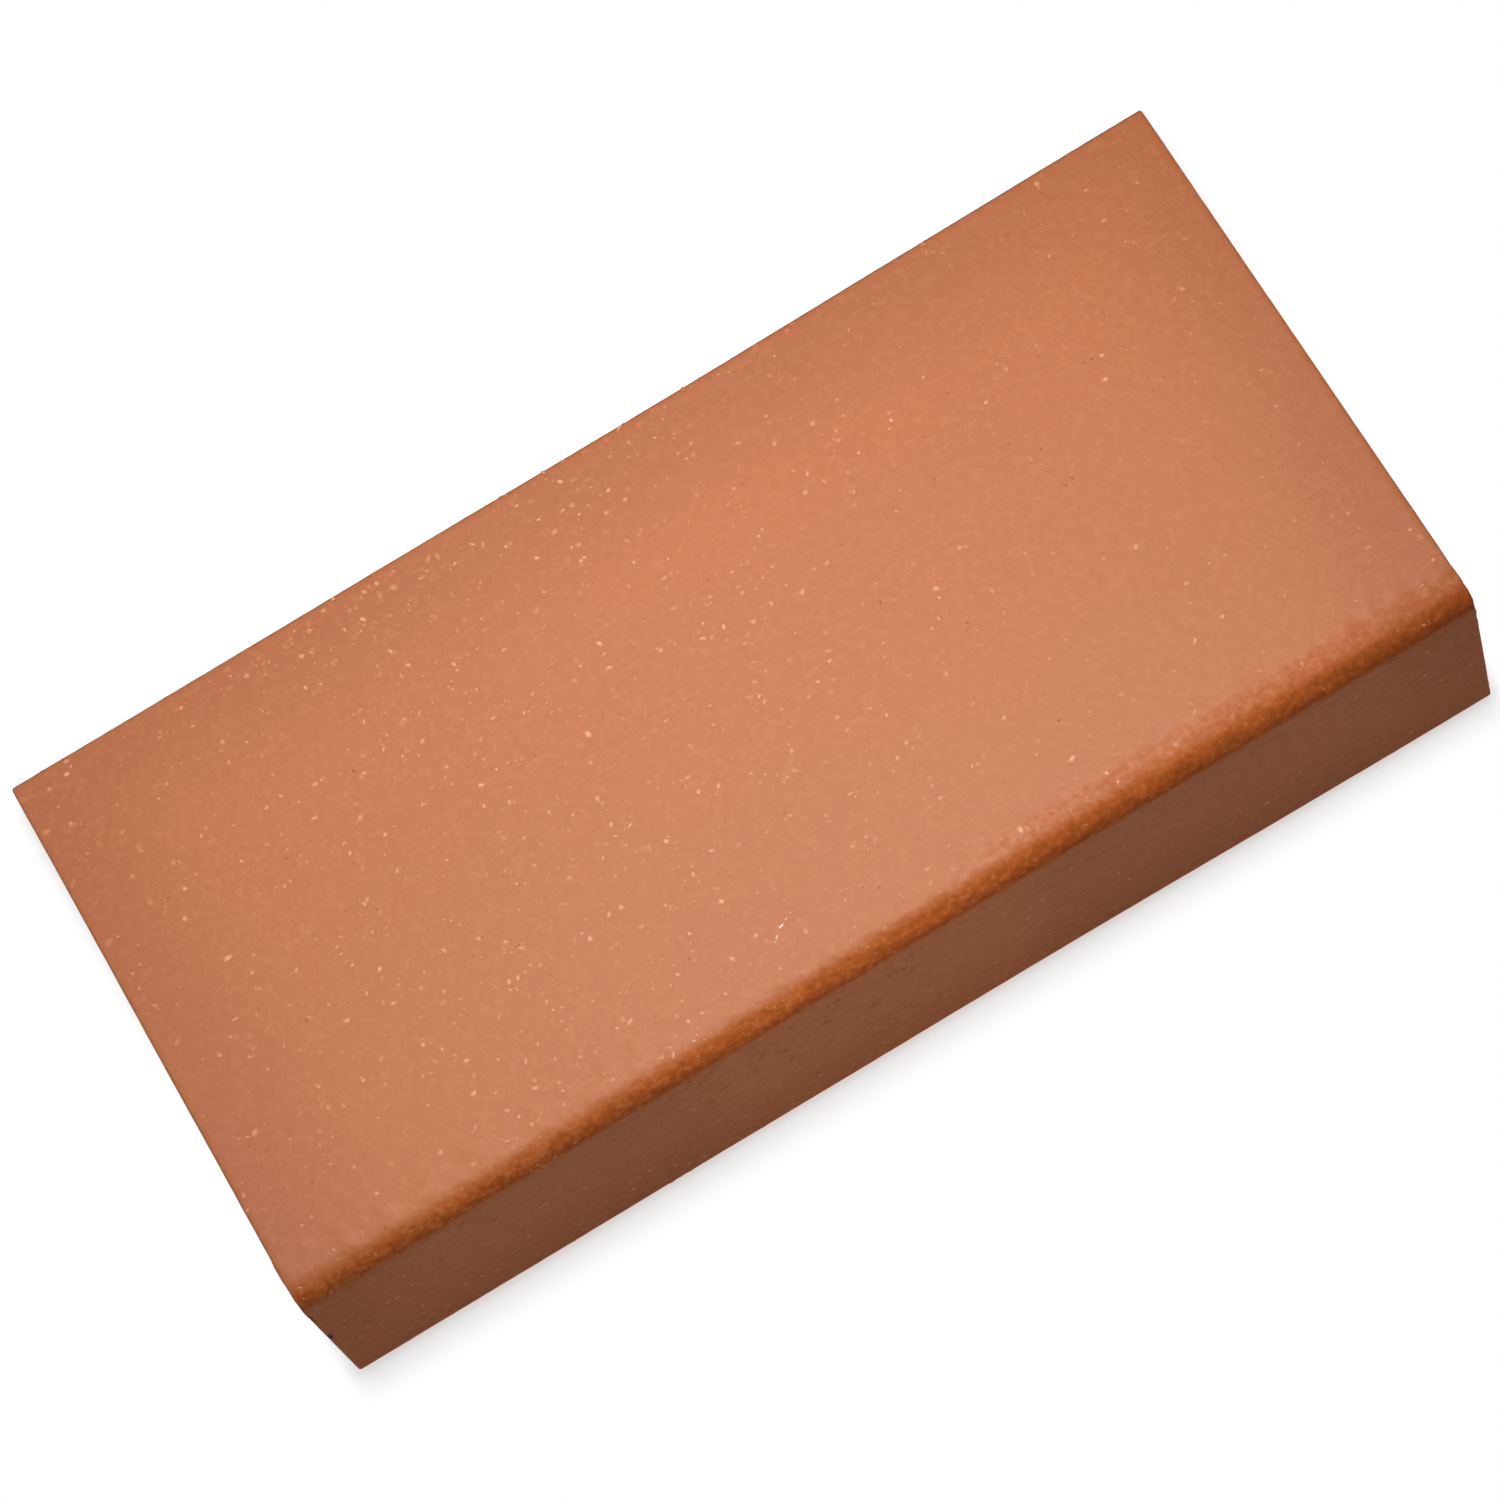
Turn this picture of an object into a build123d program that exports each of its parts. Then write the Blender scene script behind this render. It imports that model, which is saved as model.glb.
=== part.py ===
"""Extruded clinker stair tread tile.

One fired piece of angle section: a tread with a rounded nosing, and a short lip that drops over
the front of the step. The hidden faces of both plates carry dovetail keys for the mortar. The
tile is placed as it lies on a floor, on the foot of its lip and the back edge of its tread, with
the nosing along X, the back of the tread towards +Y and the origin on the floor under its middle.
"""

import os
from math import atan2, degrees

from build123d import *

# Driving dimensions of the fired tile, in millimetres and degrees
tile_length = 240.0  # along the nosing
tread_depth = 114.0  # front of the lip to back of the tread
lip_height = 48.0  # walking surface to foot of the lip
tread_thickness = 10.0
lip_thickness = 10.0
nosing_radius = 5.0  # rounded front edge of the walking surface
cove_radius = 4.0  # hidden corner between tread and lip
arris_radius = 1.2  # eased edges along the length
end_arris_radius = 0.5  # eased edges of the two cut ends
key_depth = 1.5  # dovetail keys in the hidden faces
key_width = 6.2  # across the floor of a key, where it is widest
key_side_angle = 110.0  # between the mouth of a key and its undercut side
key_spacing = 12.0  # centre to centre
key_margin = 6.0  # least plain land on both sides of a row of keys

# The corner that the step fills, and the slope at which the tile lies on two of its long edges
bed_depth = tread_depth - lip_thickness
bed_drop = lip_height - tread_thickness
rest_tilt = degrees(atan2(bed_drop, bed_depth))

# Corners of the section: x runs back from the front of the lip, y up from its foot
foot_front = (0, 0)
foot_back = (lip_thickness, 0)
inner_corner = (lip_thickness, bed_drop)
tread_back_low = (tread_depth, bed_drop)
tread_back_top = (tread_depth, lip_height)
nosing_corner = (0, lip_height)
arris_corners = (foot_front, foot_back, tread_back_low, tread_back_top)

# Rows of keys, centred on the flat width between the cove and the eased edge of each plate
tread_flat = bed_depth - cove_radius - arris_radius
lip_flat = bed_drop - cove_radius - arris_radius
tread_keys_middle = lip_thickness + cove_radius + tread_flat / 2
lip_keys_middle = arris_radius + lip_flat / 2


def key_count(flat_width: float) -> int:
    """Number of keys that a flat of this width takes between its two margins."""
    first_to_last = flat_width - 2 * key_margin - key_width
    return max(1, 1 + int(first_to_last // key_spacing))


# The section plane leans back until the two lowest eased edges touch the floor, and is then
# shifted so that the tile's box is centred over the origin
leaning = Plane.YZ.rotated((-rest_tilt, 0, 0))
foot_round = leaning.from_local_coords((lip_thickness - arris_radius, arris_radius, 0))
front_round = leaning.from_local_coords((arris_radius, arris_radius, 0))
back_round = leaning.from_local_coords((tread_depth - arris_radius, lip_height - arris_radius, 0))
floor_middle = (0, -(front_round.Y + back_round.Y) / 2, arris_radius - foot_round.Z)
section = Plane(origin=floor_middle, x_dir=leaning.x_dir, z_dir=leaning.z_dir)

with BuildPart() as tile:
    # Angle section as it leaves the die
    with BuildSketch(section) as angle:
        with BuildLine():
            Polyline(
                foot_front,
                foot_back,
                inner_corner,
                tread_back_low,
                tread_back_top,
                nosing_corner,
                close=True,
            )
        make_face()
        fillet(angle.vertices().sort_by_distance(nosing_corner)[0], nosing_radius)
        fillet(angle.vertices().sort_by_distance(inner_corner)[0], cove_radius)
        for corner in arris_corners:
            fillet(angle.vertices().sort_by_distance(corner)[0], arris_radius)
    extrude(amount=tile_length / 2, both=True)

    # Wire-cut ends, eased all round; the easing stays inside the rounding of the long edges
    cut_ends = tile.faces().filter_by(Axis.X)
    fillet(cut_ends.edges(), min(end_arris_radius, 0.75 * arris_radius))

    # Dovetail keys along the whole length, under the tread and behind the lip
    with BuildSketch(section):
        with Locations((tread_keys_middle, bed_drop)):
            with GridLocations(key_spacing, 0, key_count(tread_flat), 1):
                Trapezoid(key_width, key_depth, key_side_angle, align=(Align.CENTER, Align.MIN))
        with Locations((lip_thickness, lip_keys_middle)):
            with GridLocations(0, key_spacing, 1, key_count(lip_flat)):
                Trapezoid(
                    key_width, key_depth, key_side_angle, rotation=90, align=(Align.CENTER, Align.MIN)
                )
    extrude(amount=tile_length / 2, both=True, mode=Mode.SUBTRACT)

tile.part.label = "stair_tread_tile"
os.makedirs("parts", exist_ok=True)
export_step(tile.part, "parts/stair_tread_tile.step")
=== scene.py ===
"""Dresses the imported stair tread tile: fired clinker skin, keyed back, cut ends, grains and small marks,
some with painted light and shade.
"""

import logging
from dataclasses import astuple, dataclass, field
from enum import Enum
from functools import partial
from math import atan2, cos, radians, sin, tan
from typing import Any, Callable, NamedTuple

import bpy
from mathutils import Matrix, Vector


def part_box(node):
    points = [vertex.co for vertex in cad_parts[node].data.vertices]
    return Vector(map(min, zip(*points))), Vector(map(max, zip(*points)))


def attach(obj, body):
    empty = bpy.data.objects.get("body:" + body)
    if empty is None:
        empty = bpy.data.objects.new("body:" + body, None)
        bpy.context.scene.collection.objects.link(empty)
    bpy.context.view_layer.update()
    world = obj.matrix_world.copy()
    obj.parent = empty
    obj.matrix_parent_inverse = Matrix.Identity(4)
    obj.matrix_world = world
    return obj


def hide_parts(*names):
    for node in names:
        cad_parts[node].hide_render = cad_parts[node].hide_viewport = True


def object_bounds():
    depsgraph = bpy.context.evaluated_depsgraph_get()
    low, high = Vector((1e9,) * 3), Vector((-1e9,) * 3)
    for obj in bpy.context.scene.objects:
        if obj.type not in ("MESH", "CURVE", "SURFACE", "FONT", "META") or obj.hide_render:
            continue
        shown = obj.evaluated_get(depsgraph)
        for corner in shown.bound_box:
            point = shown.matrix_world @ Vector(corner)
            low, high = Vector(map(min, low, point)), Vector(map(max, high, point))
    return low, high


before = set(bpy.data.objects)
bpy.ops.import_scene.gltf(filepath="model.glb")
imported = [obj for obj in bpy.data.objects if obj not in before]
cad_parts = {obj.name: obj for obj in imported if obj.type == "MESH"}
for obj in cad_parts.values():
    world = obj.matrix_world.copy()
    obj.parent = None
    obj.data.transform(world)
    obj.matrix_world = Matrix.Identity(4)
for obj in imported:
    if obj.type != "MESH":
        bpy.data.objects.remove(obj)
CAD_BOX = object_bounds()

log = logging.getLogger("stair_tread_tile")

NODE = "stair_tread_tile"
BODY = "root"
MM = 0.001
SQUARE_CM_TO_M = 1e4
FULL_TURN = radians(360)
WHITE = (1.0, 1.0, 1.0, 1.0)

# Middle of a noise pattern, and how fine its detail is
NOISE_MIDDLE = 0.5
SOFT_DETAIL = 1.0
CRISP_DETAIL = 2.0

# Where a place on the section counts as hidden or as exposed
HIDDEN_BELOW = 0.05
EXPOSED_ABOVE = 0.9

# Node types that come up more than once
MATH = "ShaderNodeMath"
VECTOR = "ShaderNodeVectorMath"
SPLIT = "ShaderNodeSeparateXYZ"
JOIN = "ShaderNodeCombineXYZ"
RANGE = "ShaderNodeMapRange"
MIX = "ShaderNodeMix"
NOISE = "ShaderNodeTexNoise"
MARK = "ShaderNodeAttribute"
FIELD = "GeometryNodeInputNamedAttribute"
STORE = "GeometryNodeStoreNamedAttribute"
FORGET = "GeometryNodeRemoveAttribute"
MOVE = "GeometryNodeSetPosition"
PAINT = "GeometryNodeSetMaterial"
RANDOM = "FunctionNodeRandomValue"

# Socket types of a geometry tree's inputs, by the type of the value that goes in
SOCKETS = {
    float: "NodeSocketFloat",
    int: "NodeSocketInt",
    Vector: "NodeSocketVector",
    bpy.types.Material: "NodeSocketMaterial",
}

Span = tuple[float, float]
Triple = tuple[float, float, float]
Colour = tuple[float, float, float, float]
Adder = Callable[..., bpy.types.Node]
Source = bpy.types.Node | bpy.types.NodeSocket


def linear(hex_colour: str) -> Colour:
    """Turns an sRGB hex colour into linear light, by the sRGB curve.

    Args:
        hex_colour: six hex digits after a hash sign.

    Returns:
        Red, green, blue and an alpha of one.
    """
    channels = [int(hex_colour[i:i + 2], 16) / 255 for i in (1, 3, 5)]
    red, green, blue = [c / 12.92 if c <= 0.04045 else ((c + 0.055) / 1.055) ** 2.4 for c in channels]
    return red, green, blue, 1.0


def add_node(
    tree: bpy.types.NodeTree, kind: str, inputs: dict[str, Any] | tuple[Any, ...] = (), **settings: Any
) -> bpy.types.Node:
    """Adds one node, sets its properties and fills its inputs.

    Args:
        tree: the geometry or shader tree that gets the node.
        kind: the node's type name.
        inputs: constants, output sockets or nodes, by input name or in the order of the inputs in use;
            a node stands for its first output in use.
        settings: properties of the node itself.

    Returns:
        The new node.
    """
    node = tree.nodes.new(kind)
    for name, value in settings.items():
        setattr(node, name, value)
    sockets = [socket for socket in node.inputs if socket.enabled]
    if isinstance(inputs, dict):
        names = [socket.name for socket in sockets]
        sockets = [sockets[names.index(name)] for name in inputs]
        inputs = tuple(inputs.values())
    for socket, value in zip(sockets, inputs):
        if isinstance(value, bpy.types.Node):
            value = next(output for output in value.outputs if output.enabled)
        if isinstance(value, bpy.types.NodeSocket):
            tree.links.new(value, socket)
        else:
            socket.default_value = value
    return node


def new_material(name: str) -> tuple[bpy.types.Material, Adder]:
    """Starts a material with an empty tree.

    Args:
        name: the material's name.

    Returns:
        The material and the function that adds a node to its tree.
    """
    material = bpy.data.materials.new(name)
    material.use_nodes = True
    material.node_tree.nodes.clear()
    return material, partial(add_node, material.node_tree)


def new_tree(name: str, values: dict[str, Any]) -> tuple[bpy.types.NodeTree, Adder, bpy.types.NodeOutputs]:
    """Starts a geometry tree with one geometry in, one geometry out and an input for each value.

    Args:
        name: the tree's name.
        values: what the inputs will hold, by input name.

    Returns:
        The tree, the function that adds a node to it and the sockets that bring its inputs in.
    """
    tree = bpy.data.node_groups.new(name, "GeometryNodeTree")
    tree.interface.new_socket("Geometry", in_out="INPUT", socket_type="NodeSocketGeometry")
    tree.interface.new_socket("Geometry", in_out="OUTPUT", socket_type="NodeSocketGeometry")
    for label, value in values.items():
        tree.interface.new_socket(label, in_out="INPUT", socket_type=SOCKETS[type(value)])
    return tree, partial(add_node, tree), add_node(tree, "NodeGroupInput").outputs


def run_tree(owner: bpy.types.Object, tree: bpy.types.NodeTree, values: dict[str, Any]) -> None:
    """Runs a geometry tree on an object and leaves the result as its plain mesh.

    Args:
        owner: the object whose mesh goes into the tree.
        tree: the geometry tree.
        values: the tree's inputs by name.
    """
    modifier = owner.modifiers.new(tree.name, "NODES")
    modifier.node_group = tree
    for item in tree.interface.items_tree:
        if item.item_type == "SOCKET" and item.in_out == "INPUT" and item.name in values:
            modifier[item.identifier] = values[item.name]
    bpy.context.view_layer.update()
    graph = bpy.context.evaluated_depsgraph_get()
    made = bpy.data.meshes.new_from_object(owner.evaluated_get(graph))
    owner.modifiers.clear()
    for slot in reversed(range(len(made.materials))):
        if made.materials[slot] is None:
            made.materials.pop(index=slot)
    owner.data = made


class Side(Enum):
    """Which side of the tile a stretch of its section belongs to, by its grid spacing in millimetres."""

    EXPOSED = 1.0
    EDGE = 0.9
    HIDDEN = 2.6


@dataclass(frozen=True)
class Corner:
    """One corner of the section: its place and rounding, the side that follows it, and 1 if it shows."""

    back: float
    up: float
    radius: float
    steps: int
    side: Side
    exposed: float


@dataclass
class TileSection:
    """Angle section of the tile, in millimetres, back from the lip's front and up from its foot."""

    tread_depth: float = 114.0
    lip_height: float = 48.0
    tread_thickness: float = 10.0
    lip_thickness: float = 10.0
    nosing_radius: float = 5.0
    nosing_steps: int = 14
    cove_radius: float = 4.0
    cove_steps: int = 8
    arris_radius: float = 1.2
    arris_steps: int = 6
    key_depth: float = 1.5
    key_width: float = 6.2
    key_side_angle: float = 110.0
    key_spacing: float = 12.0
    key_margin: float = 6.0
    key_rounding: float = 0.35
    key_steps: int = 2

    @property
    def bed_depth(self) -> float:
        """Depth of the tread's underside behind the lip."""
        return self.tread_depth - self.lip_thickness

    @property
    def bed_drop(self) -> float:
        """Height of the lip's back under the tread."""
        return self.lip_height - self.tread_thickness

    @property
    def rest_tilt(self) -> float:
        """Slope, in radians, at which the tile lies on two of its long edges."""
        return atan2(self.bed_drop, self.bed_depth)

    @property
    def tread_normal(self) -> Vector:
        """Direction that the walking surface faces, in the frame."""
        return Vector((0.0, sin(self.rest_tilt), cos(self.rest_tilt)))

    @property
    def nosing_centre(self) -> Vector:
        """Centre of the nosing's rounding, in the frame, in metres."""
        return self.in_frame(self.nosing_radius, self.lip_height - self.nosing_radius)

    @property
    def back_edge(self) -> Vector:
        """Rear edge of the walking surface, in the frame, in metres."""
        return self.in_frame(self.tread_depth, self.lip_height)

    @property
    def foot_edge(self) -> Vector:
        """Front edge of the lip's foot, in the frame, in metres."""
        return self.in_frame(0.0, 0.0)

    def lean(self, back: float, up: float) -> Span:
        """Turns a section point to the slope of the tile at rest."""
        tilt = self.rest_tilt
        return back * cos(tilt) + up * sin(tilt), up * cos(tilt) - back * sin(tilt)

    def in_frame(self, back: float, up: float) -> Vector:
        """Places a section point in the shared frame.

        Args:
            back: millimetres back from the front of the lip.
            up: millimetres up from the foot of the lip.

        Returns:
            The point in metres, in the plane across the middle of the tile.
        """
        arris = self.arris_radius
        front = self.lean(arris, arris)[0]
        rear = self.lean(self.tread_depth - arris, self.lip_height - arris)[0]
        floor = self.lean(self.lip_thickness - arris, arris)[1] - arris
        y, z = self.lean(back, up)
        return Vector((0.0, y - (front + rear) / 2, z - floor)) * MM

    def key_centres(self, first: float, last: float) -> list[float]:
        """Finds where the keys lie on a flat of the hidden side.

        Args:
            first: where the flat begins, in millimetres.
            last: where it ends.

        Returns:
            The centres of the keys, in order.
        """
        room = last - first - 2 * self.key_margin - self.key_width
        count = max(1, 1 + int(room // self.key_spacing))
        middle = (first + last) / 2
        return [middle + (i - (count - 1) / 2) * self.key_spacing for i in range(count)]

    def corners(self) -> list[Corner]:
        """Corners of the section in one round, from the front of the foot by way of the hidden side.

        Returns:
            The corners with their roundings, keys included.
        """
        arris, cove = self.arris_radius, self.cove_radius
        undercut = -self.key_depth / tan(radians(self.key_side_angle))
        floor_half = self.key_width / 2
        mouth_half = floor_half - undercut
        profile = ((-mouth_half, 0.0), (-floor_half, 1.0), (floor_half, 1.0), (mouth_half, 0.0))

        loop = [Corner(0, 0, arris, self.arris_steps, Side.EDGE, 1.0)]
        loop.append(Corner(self.lip_thickness, 0, arris, self.arris_steps, Side.HIDDEN, 0.0))
        for centre in self.key_centres(arris, self.bed_drop - cove):
            for along, depth in profile:
                back = self.lip_thickness - depth * self.key_depth
                loop.append(Corner(back, centre + along, self.key_rounding, self.key_steps, Side.HIDDEN, 0.0))
        loop.append(Corner(self.lip_thickness, self.bed_drop, cove, self.cove_steps, Side.HIDDEN, 0.0))
        for centre in self.key_centres(self.lip_thickness + cove, self.tread_depth - arris):
            for along, depth in profile:
                up = self.bed_drop + depth * self.key_depth
                loop.append(Corner(centre + along, up, self.key_rounding, self.key_steps, Side.HIDDEN, 0.0))
        loop.append(Corner(self.tread_depth, self.bed_drop, arris, self.arris_steps, Side.EDGE, 0.0))
        loop.append(Corner(self.tread_depth, self.lip_height, arris, self.arris_steps, Side.EXPOSED, 1.0))
        loop.append(Corner(0, self.lip_height, self.nosing_radius, self.nosing_steps, Side.EXPOSED, 1.0))
        return loop

    def outline(self) -> bpy.types.Object:
        """Makes the section's corner loop, with each corner's rounding kept as attributes.

        Returns:
            A wire object whose mesh is the loop of corners.
        """
        loop = self.corners()
        points = [self.in_frame(c.back, c.up) for c in loop]
        edges = [(i, (i + 1) % len(loop)) for i in range(len(loop))]
        mesh = bpy.data.meshes.new("tile_section")
        mesh.from_pydata(points, edges, [])
        values = {
            "corner_radius": ("FLOAT", [c.radius * MM for c in loop]),
            "corner_steps": ("INT", [c.steps for c in loop]),
            "grid_spacing": ("FLOAT", [c.side.value * MM for c in loop]),
            "exposed": ("FLOAT", [c.exposed for c in loop]),
        }
        for name, (kind, numbers) in values.items():
            mesh.attributes.new(name, kind, "POINT").data.foreach_set("value", numbers)
        wire = bpy.data.objects.new("stair_tread_tile_body", mesh)
        bpy.context.collection.objects.link(wire)
        return wire


@dataclass(frozen=True)
class Sheen:
    """How satin or matt a stretch of clay came out of the kiln."""

    roughness: float
    specular: float


class Zones(NamedTuple):
    """Where a place lies on the tile's front: the way it faces, and its shares of each stretch; the pale
    stretch is the one that gets painted light.
    """

    facing: Source
    along: Source
    scraped: Source
    at_lip: Source
    pale: Source


@dataclass(frozen=True)
class ScrapedFront:
    """Front that the die's corner scraped: dry, matt and gritty on the nosing, dull and blotched on the lip;
    its colours hold painted shade and highlight on the grit and painted light across the middle of the low
    front.

    Spans run from where a stretch begins to where it is full. Stretches along the front are a middle
    and a half length, in millimetres, and full over the share of it that stretch_core gives; drifts are
    changes for each metre along it.
    """

    nosing: Sheen = Sheen(0.8, 0.12)
    lip: Sheen = Sheen(0.7, 0.3)
    dulled_margin: float = 0.35
    deep: str = "#C6642B"
    pit_and_shade: str = "#A85421"
    chip_and_highlight: str = "#D27A40"
    bloom: str = "#D07E46"
    bloom_share: float = 0.45
    grit_size: float = 1.2
    grit_height: float = 0.11
    limit_drift: float = -0.65
    limit_wander: float = 0.24
    end_shade_drift: float = -1.1
    scraped_span: Span = (0.98, 0.8)
    lip_span: Span = (0.26, 0.03)
    gritty_span: Span = (1.0, 0.9)
    pit_shade_span: Span = (0.6, 0.2)
    chip_highlight_span: Span = (0.56, 0.8)
    bloom_span: Span = (0.42, 0.62)
    low_span: Span = (0.85, 0.7)
    lit_stretch: Span = (-6.0, 45.0)
    painted_light_gain: float = 1.18
    wide_stretch: Span = (60.0, 45.0)
    wide_shift: float = -0.022
    stretch_core: float = 0.5

    def zones(self, add: Adder, clouds: Source) -> Zones:
        """Adds the limits of the nosing and the lip, which wander.

        Args:
            add: adds a node to the material's tree.
            clouds: the small clouds in the clay.

        Returns:
            The stretches of the front.
        """
        facing = add(MARK, attribute_name="facing").outputs["Fac"]
        along = add(MARK, attribute_name="along").outputs["Fac"]
        nearness = add(MARK, attribute_name="nearness").outputs["Fac"]
        stretches = []
        # The pale stretch is painted light across the middle of the low front; the wide one moves the
        # nosing's limits
        for middle, half in (self.lit_stretch, self.wide_stretch):
            offset = add(MATH, (along, middle * MM), operation="SUBTRACT")
            aside = add(MATH, (offset,), operation="ABSOLUTE")
            limits = (half * MM, half * MM * self.stretch_core)
            stretches.append(add(RANGE, (aside, *limits), interpolation_type="SMOOTHSTEP"))
        pale, wide = stretches
        cloudy = add(MATH, (clouds, NOISE_MIDDLE), operation="SUBTRACT")
        wander = add(MATH, (cloudy, self.limit_wander), operation="MULTIPLY")
        drift = add(MATH, (along, self.limit_drift, wander), operation="MULTIPLY_ADD")
        shift = add(MATH, (wide, self.wide_shift, drift), operation="MULTIPLY_ADD")
        limit = add(MATH, (shift, nearness, facing), operation="MULTIPLY_ADD")
        scraped = add(RANGE, (limit, *self.scraped_span))
        at_lip = add(RANGE, (limit, *self.lip_span))
        return Zones(facing, along, scraped, at_lip, pale)

    def tint(self, add: Adder, zones: Zones, clouds: Source, grit: Source, colour: Source) -> Source:
        """Adds the colours of the front: deep clay on the nosing, with pits darker in the grit's hollows and
        chips paler on its tops as painted shade and highlight, bloom on the lip, and painted light across the
        middle of the low front.

        Args:
            add: adds a node to the material's tree.
            zones: the stretches of the front.
            clouds: the small clouds in the clay.
            grit: the grit of the nosing.
            colour: the clay's own colour.

        Returns:
            The colour with the front in it.
        """
        on_nosing = add(MATH, (zones.scraped, zones.at_lip), operation="SUBTRACT")
        # Painted shade and highlight on the grit: pits darker where the grit lies low and chips paler where
        # it stands high, with more pits and fewer chips towards the right-hand end, along +x
        drifting = add(MATH, (zones.along, self.end_shade_drift, grit), operation="MULTIPLY_ADD")
        pitted_shade = add(MATH, (on_nosing, add(RANGE, (drifting, *self.pit_shade_span))), operation="MULTIPLY")
        chipped_highlight = add(MATH, (on_nosing, add(RANGE, (drifting, *self.chip_highlight_span))), operation="MULTIPLY")
        blotch = add(RANGE, (clouds, *self.bloom_span, 0.0, self.bloom_share))
        bloomed = add(MATH, (zones.at_lip, blotch), operation="MULTIPLY")
        tints = ((on_nosing, self.deep), (pitted_shade, self.pit_and_shade), (chipped_highlight, self.chip_and_highlight), (bloomed, self.bloom))
        for share, hue in tints:
            colour = add(MIX, (share, colour, linear(hue)), data_type="RGBA")
        # Painted light: the low front is made lighter over a stretch across its middle
        low_front = add(RANGE, (zones.facing, *self.low_span))
        lighter = add(MATH, (zones.pale, low_front), operation="MULTIPLY")
        gain = (self.painted_light_gain, self.painted_light_gain, self.painted_light_gain, 1.0)
        return add(MIX, (lighter, colour, gain), data_type="RGBA", blend_type="MULTIPLY")

    def sheen(self, add: Adder, zones: Zones, tread: Sheen, margin: Source) -> tuple[Source, Source]:
        """Adds the change from the tread's sheen to that of the nosing and the lip.

        Args:
            add: adds a node to the material's tree.
            zones: the stretches of the front.
            tread: the sheen of the tread.
            margin: how near an edge is, where the lip is duller.

        Returns:
            The roughness and the specular level.
        """
        levels = []
        for on_tread, on_nosing, on_lip in zip(astuple(tread), astuple(self.nosing), astuple(self.lip)):
            upper = add(MATH, (zones.scraped, on_nosing - on_tread, on_tread), operation="MULTIPLY_ADD")
            levels.append(add(MATH, (zones.at_lip, on_lip - on_nosing, upper), operation="MULTIPLY_ADD"))
        roughness, specular = levels
        edge = add(MATH, (zones.at_lip, margin), operation="MULTIPLY")
        left = add(MATH, (edge, -self.dulled_margin, 1.0), operation="MULTIPLY_ADD")
        return roughness, add(MATH, (specular, left), operation="MULTIPLY")


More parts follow.
